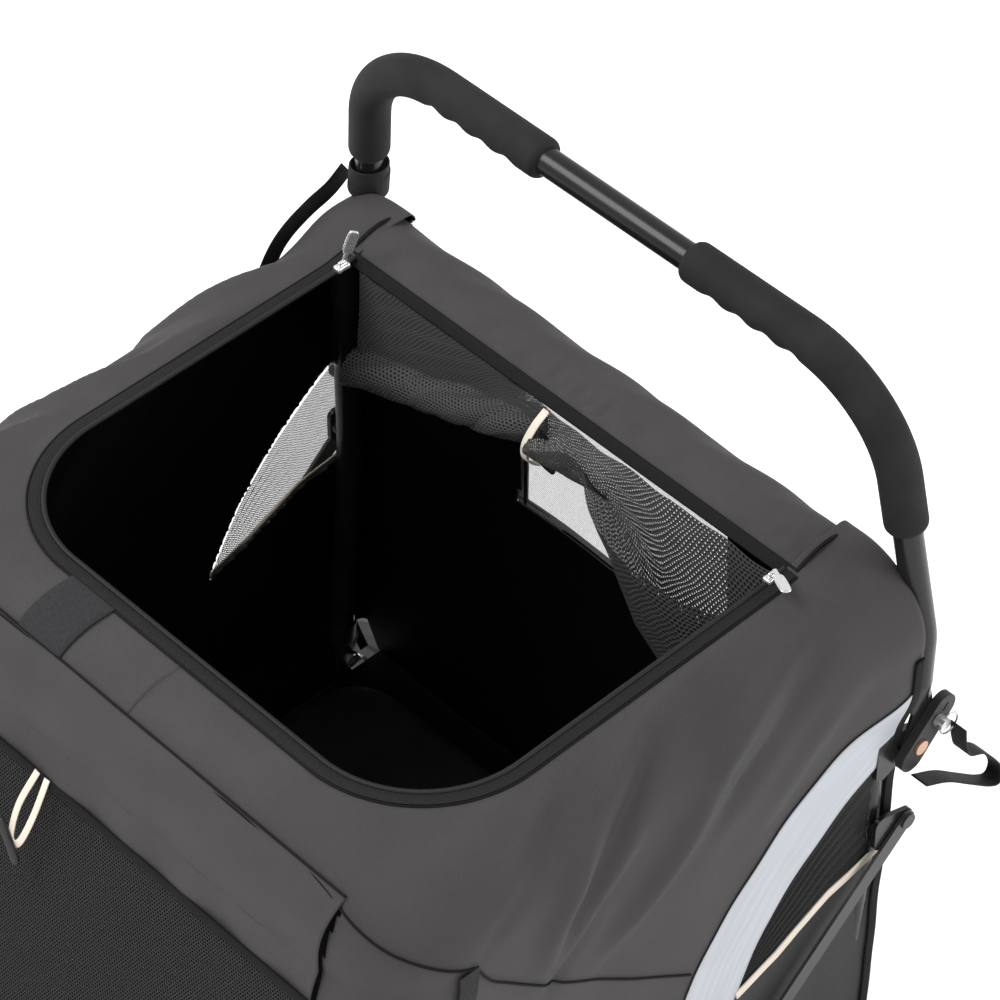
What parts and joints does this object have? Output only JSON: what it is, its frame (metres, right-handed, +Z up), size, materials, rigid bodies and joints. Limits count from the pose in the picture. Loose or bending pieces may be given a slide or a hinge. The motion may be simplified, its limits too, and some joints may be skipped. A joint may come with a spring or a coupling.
{
  "type": "pet stroller",
  "caption": "Four-wheeled folding pet stroller with a zipped fabric cabin, an open roof hatch and a padded push handle.",
  "frame": {"origin": "on the floor, under the middle of the overall size", "axes": "+X to the left of the person pushing, +Y towards that person, +Z up"},
  "size_m": [0.788, 0.9335, 1.0685],
  "materials": {
    "frame": "satin",
    "cloth": "matte",
    "mesh": "matte",
    "foam": "matte",
    "webbing": "matte",
    "reflector": "satin",
    "steel": "polished",
    "plastic": "matte",
    "board": "matte",
    "pad": "matte",
    "tyre": "matte",
    "stay_steel": "satin",
    "window": "matte",
    "zip": "satin"
  },
  "bodies": {
    "chassis": {"base_tube": "frame", "rear_cross_tube": "frame", "caster_cross_tube": "frame", "axle_tube": "frame", "rail_caps": "plastic", "frame_bolts": "steel", "fold_bolts": "steel", "fold_brackets": "frame", "axle_brackets": "plastic", "caster_housings": "plastic", "floor_board": "board", "cushion": "pad", "cabin_roof": "cloth", "rear_band": "cloth", "rear_panel": "cloth", "rear_mesh": "window", "front_panel": "mesh", "front_header": "cloth", "zipper_track": "zip", "hatch_curtain": "mesh", "hook_patch": "webbing", "curtain_toggle": "plastic", "front_toggle": "plastic", "reflective_strips": "reflector", "side_meshes": "mesh", "side_panel_left": "cloth", "side_panel_right": "cloth"},
    "hoop": {"hoop_tube": "frame", "hoop_feet": "plastic", "post_bracket_left": "frame", "post_bracket_right": "frame"},
    "handle": {"handle_tube": "frame", "handle_rivets": "steel", "grip_left": "foam", "grip_right": "foam", "link_plate_left": "plastic", "link_plate_right": "plastic", "pin_tether_left": "webbing", "pin_tether_right": "webbing", "wrist_strap": "webbing"},
    "brake": {"brake_rod": "frame", "brake_pedal": "plastic"},
    "left_stay": {"stay_left": "stay_steel"},
    "left_shoe": {"rail_shoe_left": "plastic"},
    "left_lock": {"lock_pin_left": "steel"},
    "left_zip": {"zip_slider_left": "steel"},
    "left_wheel": {"rear_tyre_left": "tyre", "rear_rim_left": "plastic"},
    "left_caster": {"caster_fork_left": "plastic"},
    "left_caster_wheel": {"caster_wheel_left": "tyre"},
    "right_stay": {"stay_right": "stay_steel"},
    "right_shoe": {"rail_shoe_right": "plastic"},
    "right_lock": {"lock_pin_right": "steel"},
    "right_zip": {"zip_slider_right": "steel"},
    "right_wheel": {"rear_tyre_right": "tyre", "rear_rim_right": "plastic"},
    "right_caster": {"caster_fork_right": "plastic"},
    "right_caster_wheel": {"caster_wheel_right": "tyre"}
  },
  "joints": [
    {"name": "hoop_fold", "type": "hinge", "parent": "chassis", "child": "hoop", "pos_m": [0, 0.32, 0.305], "axis": [1, 0, 0], "range_deg": [0, 80], "deforming": ["cabin_roof", "rear_band", "rear_panel", "rear_mesh", "front_panel", "front_header", "zipper_track", "hatch_curtain", "hook_patch", "curtain_toggle", "front_toggle", "reflective_strips", "side_meshes", "side_panel_left", "side_panel_right", "pin_tether_left", "pin_tether_right", "wrist_strap"]},
    {"name": "handle_fold", "type": "hinge", "parent": "hoop", "child": "handle", "pos_m": [0, 0.376, 0.67], "axis": [1, 0, 0], "range_deg": [-150, 0], "deforming": ["pin_tether_left", "pin_tether_right", "wrist_strap"]},
    {"name": "left_stay_fold", "type": "hinge", "parent": "hoop", "child": "left_stay", "pos_m": [0.345, 0.372, 0.577], "axis": [1, 0, 0], "range_deg": [-107.44, 0]},
    {"name": "left_shoe_slide", "type": "slide", "parent": "chassis", "child": "left_shoe", "axis": [0, -1, 0], "range_m": [0, 0.404]},
    {"name": "left_lock_pull", "type": "slide", "parent": "handle", "child": "left_lock", "axis": [1, 0, 0], "range_m": [0, 0.02], "stiffness_N_per_m": 300, "deforming": ["pin_tether_left"]},
    {"name": "left_zip_slide", "type": "slide", "parent": "chassis", "child": "left_zip", "axis": [0, -1, 0], "range_m": [0, 0.26]},
    {"name": "left_wheel_spin", "type": "hinge", "parent": "chassis", "child": "left_wheel", "pos_m": [0.37, 0.29, 0.15], "axis": [1, 0, 0], "continuous": true},
    {"name": "left_caster_swivel", "type": "hinge", "parent": "chassis", "child": "left_caster", "pos_m": [0.25, -0.379, 0.24], "axis": [0, 0, 1], "continuous": true},
    {"name": "left_caster_spin", "type": "hinge", "parent": "left_caster", "child": "left_caster_wheel", "pos_m": [0.25, -0.334, 0.095], "axis": [1, 0, 0], "continuous": true},
    {"name": "right_stay_fold", "type": "hinge", "parent": "hoop", "child": "right_stay", "pos_m": [-0.345, 0.372, 0.577], "axis": [1, 0, 0], "range_deg": [-107.44, 0]},
    {"name": "right_shoe_slide", "type": "slide", "parent": "chassis", "child": "right_shoe", "axis": [0, -1, 0], "range_m": [0, 0.404]},
    {"name": "right_lock_pull", "type": "slide", "parent": "handle", "child": "right_lock", "axis": [-1, 0, 0], "range_m": [0, 0.02], "stiffness_N_per_m": 300, "deforming": ["pin_tether_right"]},
    {"name": "right_zip_slide", "type": "slide", "parent": "chassis", "child": "right_zip", "axis": [0, -1, 0], "range_m": [0, 0.26]},
    {"name": "right_wheel_spin", "type": "hinge", "parent": "chassis", "child": "right_wheel", "pos_m": [-0.37, 0.29, 0.15], "axis": [1, 0, 0], "continuous": true},
    {"name": "right_caster_swivel", "type": "hinge", "parent": "chassis", "child": "right_caster", "pos_m": [-0.25, -0.379, 0.24], "axis": [0, 0, 1], "continuous": true},
    {"name": "right_caster_spin", "type": "hinge", "parent": "right_caster", "child": "right_caster_wheel", "pos_m": [-0.25, -0.334, 0.095], "axis": [1, 0, 0], "continuous": true},
    {"name": "brake_press", "type": "hinge", "parent": "chassis", "child": "brake", "pos_m": [0, 0.318, 0.15], "axis": [1, 0, 0], "range_deg": [-18, 0]}
  ],
  "couplings": [
    {"joint": "left_stay_fold", "follows": "hoop_fold", "ratio": -1.3405},
    {"joint": "left_shoe_slide", "follows": "hoop_fold", "m_per_rad": 0.28865},
    {"joint": "right_stay_fold", "follows": "hoop_fold", "ratio": -1.3405},
    {"joint": "right_shoe_slide", "follows": "hoop_fold", "m_per_rad": 0.28865}
  ]
}
